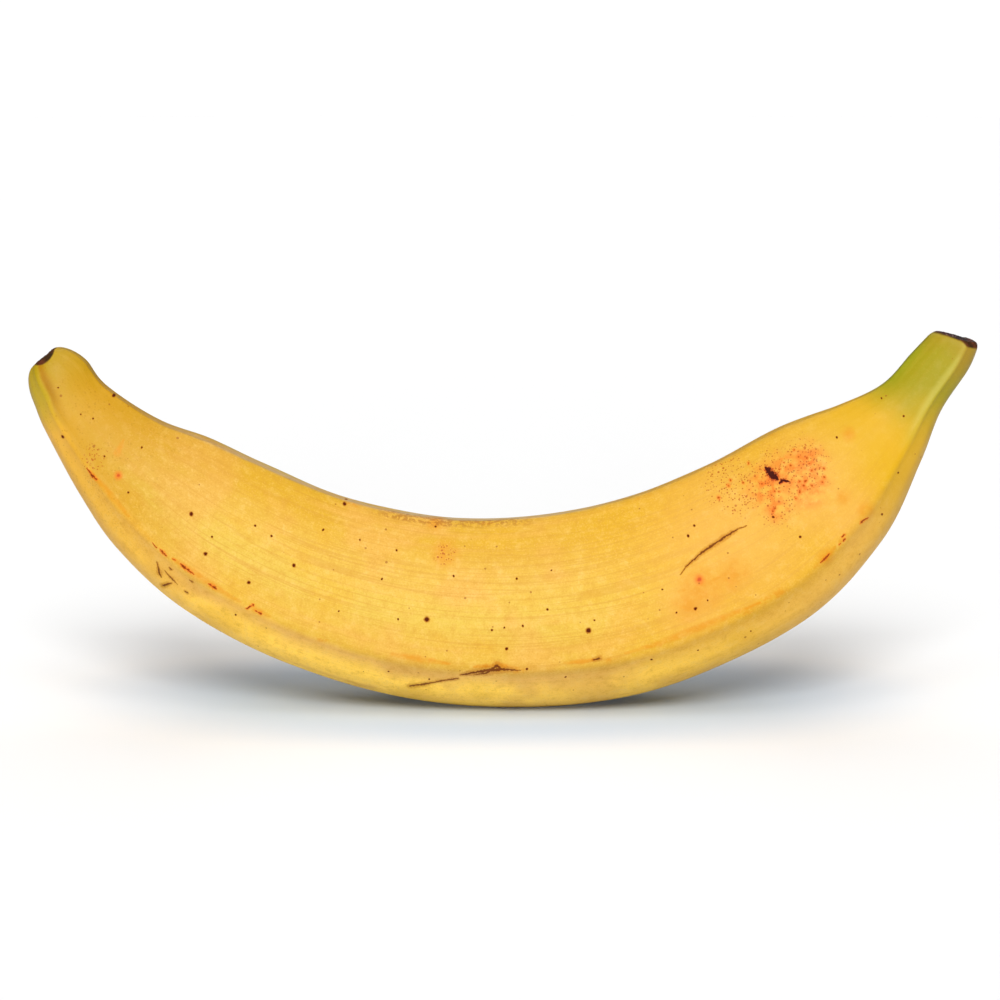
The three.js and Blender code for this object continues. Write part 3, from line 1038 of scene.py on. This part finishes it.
class PLANTAIN_PG_stage(bpy.types.PropertyGroup):
    """The floor, the light and the camera."""

    floor_radius: length_setting("Floor radius", "Radius of the round floor", 4000)
    floor_colour: colour_setting("Floor", "Whole floor", 238, 238, 238)
    # The painted shadow on the floor beside the fruit: its darker, bluish colour, its painted glow, its size
    # and place.
    painted_shadow_colour: colour_setting("Painted floor shadow", "Floor beside the fruit", 202, 215, 229)
    painted_glow_colour: colour_setting("Painted floor glow", "What the floor gives off beside the fruit", 4, 14, 32)
    painted_shadow_side: length_setting("Painted shadow side", "Half length of the painted shadow", 125)
    painted_shadow_depth: length_setting("Painted shadow depth", "Half depth of the painted shadow", 60)
    painted_shadow_shift: length_setting("Painted shadow shift", "Y of the painted shadow's middle", 5)
    low_front: number_setting("Low front light", "Strength of the light low in front", 1.2, min=0)
    front: number_setting("Front light", "Strength of the light high in front", 2.3, min=0)
    high_front: number_setting("Higher front light", "Strength of the light higher in front", 1.1, min=0)
    overhead: number_setting("Overhead light", "Strength of the light overhead", 0.35, min=0)
    back: number_setting("Back light", "Strength of the light high behind", 0.83, min=0)
    ambient: number_setting("Ambient", "Strength of the light from all round", 0.02, min=0)
    camera_distance: length_setting("Camera distance", "From the camera to its aim", 694.4)
    camera_elevation: number_setting(
        "Camera elevation", "Angle of the camera above the horizon", math.radians(10), unit="ROTATION"
    )
    aim_side: length_setting("Aim side", "X of the camera's aim", -0.6)
    aim_height: length_setting("Aim height", "Height of the camera's aim", 51.6)
    lens: number_setting("Lens", "Focal length, in millimetres", 100, min=1)


# ---- operators


def new_object(context, name, data):
    made = bpy.data.objects.new(name, data)
    context.scene.collection.objects.link(made)
    return made


def new_mesh_object(context, name, bm, materials):
    mesh = bpy.data.meshes.new(name)
    bm.to_mesh(mesh)
    bm.free()
    for material in materials:
        mesh.materials.append(material)
    return new_object(context, name, mesh)


class PLANTAIN_OT_fruit(bpy.types.Operator):
    """Model the fruit, give it its materials and put it in the frame's place"""

    bl_idname = "plantain.make_fruit"
    bl_label = "Make the fruit"

    def execute(self, context):
        look = context.scene.plantain_look
        make_shared_groups()
        materials = [peel_material(look), scar_material(look), cut_material(look)]
        bm = fruit_mesh(context.scene.plantain_shape)
        fruit = new_mesh_object(context, "plantain_fruit", bm, materials)
        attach(fruit, "root")
        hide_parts(FRUIT_NODE)
        return {"FINISHED"}


FLOOR_SEGMENTS = 128


def make_floor(context, stage):
    bm = bmesh.new()
    bmesh.ops.create_circle(bm, cap_ends=True, segments=FLOOR_SEGMENTS, radius=stage.floor_radius)
    floor = new_mesh_object(context, "floor", bm, [floor_material(stage)])


def look_from(thing, rise, distance=1, aim=Vector()):
    """Turns a light or camera to its aim, from a rise that goes from front to back."""
    back = Vector((0, -math.cos(rise), math.sin(rise)))
    thing.location = aim + back * distance
    thing.rotation_euler = (-back).to_track_quat("-Z", "Y").to_euler()


def make_light(context, name, rise, spread, strength):
    """A far soft light, so many degrees up from the front and over to the back, and so many wide."""
    lamp = bpy.data.lights.new(name, "SUN")
    lamp.angle = math.radians(spread)
    lamp.energy = strength
    look_from(new_object(context, name, lamp), math.radians(rise))


SEEN_WHITE = 1.05


def make_world(context, stage):
    """White all round: bright to the camera, and softer as light."""
    world = bpy.data.worlds.new("White studio")
    world.use_nodes = True
    tree = world.node_tree
    tree.nodes.clear()
    seen = add(tree, "LightPath").outputs["Is Camera Ray"]
    strength = ramp(seen, 0, 1, stage.ambient, SEEN_WHITE)
    shell = add(tree, "Background", {"Color": (1, 1, 1, 1), "Strength": strength})
    add(tree, "OutputWorld", {"Surface": shell.outputs[0]})
    context.scene.world = world


NEAREST_SEEN = 10


def make_camera(context, stage):
    lens = bpy.data.cameras.new("Camera")
    lens.lens = stage.lens
    lens.clip_start = NEAREST_SEEN * MM
    camera = new_object(context, "Camera", lens)
    aim = Vector((stage.aim_side, 0, stage.aim_height))
    look_from(camera, stage.camera_elevation, stage.camera_distance, aim)
    context.scene.camera = camera


# Each light's rise from the front over to the back, and its width, in degrees.
LIGHTS = (
    ("low_front", 8, 16), ("front", 40, 25), ("high_front", 65, 30), ("overhead", 90, 30), ("back", 128, 45),
)


class PLANTAIN_OT_stage(bpy.types.Operator):
    """Set up the floor, the lights, the white surroundings and the camera"""

    bl_idname = "plantain.make_stage"
    bl_label = "Make the stage"

    def execute(self, context):
        stage = context.scene.plantain_stage
        make_floor(context, stage)
        for name, rise, spread in LIGHTS:
            make_light(context, name, rise, spread, getattr(stage, name))
        make_world(context, stage)
        make_camera(context, stage)
        context.scene.view_settings.view_transform = "Standard"
        return {"FINISHED"}


# ---- panel and registration


class PLANTAIN_PT_panel(bpy.types.Panel):
    """The plantain's settings and operators"""

    bl_label = "Plantain"
    bl_idname = "PLANTAIN_PT_panel"
    bl_space_type = "VIEW_3D"
    bl_region_type = "UI"
    bl_category = "Plantain"

    def draw(self, context):
        for group in SETTINGS:
            box = self.layout.box()
            settings = getattr(context.scene, group)
            for name in settings.__annotations__:
                box.prop(settings, name)
        for operator in (PLANTAIN_OT_fruit, PLANTAIN_OT_stage):
            self.layout.operator(operator.bl_idname)


SETTINGS = {
    "plantain_shape": PLANTAIN_PG_shape,
    "plantain_look": PLANTAIN_PG_look,
    "plantain_stage": PLANTAIN_PG_stage,
}
CLASSES = (*SETTINGS.values(), PLANTAIN_OT_fruit, PLANTAIN_OT_stage, PLANTAIN_PT_panel)


def register():
    for kind in CLASSES:
        bpy.utils.register_class(kind)
    for name, kind in SETTINGS.items():
        setattr(bpy.types.Scene, name, bpy.props.PointerProperty(type=kind))


def unregister():
    for name in SETTINGS:
        delattr(bpy.types.Scene, name)
    for kind in reversed(CLASSES):
        bpy.utils.unregister_class(kind)


def main():
    register()
    bpy.ops.plantain.make_fruit()
    bpy.ops.plantain.make_stage()


if __name__ == "__main__":
    main()
